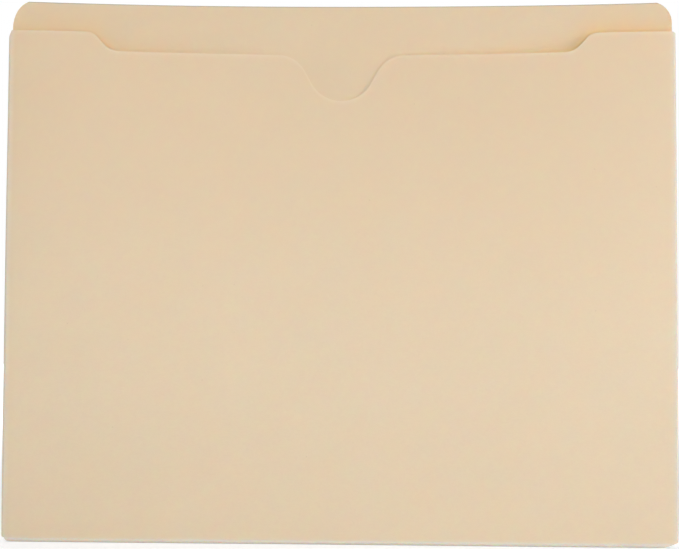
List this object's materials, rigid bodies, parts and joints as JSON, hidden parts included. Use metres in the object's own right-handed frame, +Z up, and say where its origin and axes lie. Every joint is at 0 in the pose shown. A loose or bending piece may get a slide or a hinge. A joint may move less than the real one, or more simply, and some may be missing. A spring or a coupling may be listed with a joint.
{
  "type": "file jacket",
  "caption": "Flat letter-size manila file jacket: a card pocket closed on three sides, with a doubled straight tab behind, a stepped front edge and a thumb cut.",
  "frame": {"origin": "middle of the flat underside of the bottom fold", "axes": "+X across the width to the viewer's right, -Y out of the front panel, +Z up from the bottom fold to the mouth"},
  "size_m": [0.2984, 0.0142, 0.2413],
  "materials": {
    "manila": "uncoated manila card",
    "glue": "dried white glue"
  },
  "bodies": {
    "back": {"back_panel": "manila", "tab_ply": "manila", "tab_fold": "manila", "tab_glue": "glue", "bottom_fold": "manila", "left_side_fold": "manila", "right_side_fold": "manila", "left_side_flap": "manila", "right_side_flap": "manila", "left_flap_glue": "glue", "right_flap_glue": "glue"},
    "front": {"front_panel": "manila"}
  },
  "joints": [
    {"name": "mouth_open", "type": "hinge", "parent": "back", "child": "front", "pos_m": [0, -0.00284, 0.00194], "axis": [1, 0, 0], "range_deg": [0, 6], "stiffness_Nm_per_rad": 0.6}
  ]
}
